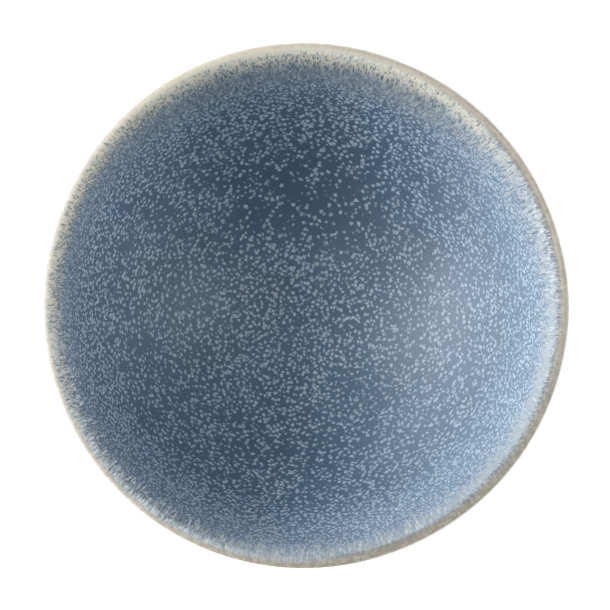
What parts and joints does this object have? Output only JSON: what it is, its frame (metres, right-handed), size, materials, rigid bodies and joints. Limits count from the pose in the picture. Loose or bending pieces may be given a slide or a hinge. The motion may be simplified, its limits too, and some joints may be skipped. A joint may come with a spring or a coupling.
{
  "type": "stoneware bowl",
  "caption": "Round stoneware food bowl with a speckled blue reactive glaze, a cream and tan glazed lip and a bare turned foot ring.",
  "frame": {"origin": "centre of the foot ring's resting plane, under the bowl's axis", "axes": "+Z is the bowl's axis of revolution and points up out of its mouth; +X and +Y are free because the form is round"},
  "size_m": [0.178, 0.178, 0.067],
  "materials": {
    "bare_stoneware": "unglazed fired clay, dry and slightly gritty",
    "inner_blue_glaze": "satin reactive glaze, blue with pale crystal speckles",
    "cream_rim_glaze": "satin glaze, cream breaking to tan on the crest of the lip",
    "outer_blue_glaze": "satin reactive glaze, blue with pale crystal speckles"
  },
  "bodies": {
    "root": {"stoneware_body": "bare_stoneware", "inner_glaze": "inner_blue_glaze", "rim_glaze": "cream_rim_glaze", "outer_glaze": "outer_blue_glaze"}
  },
  "joints": []
}
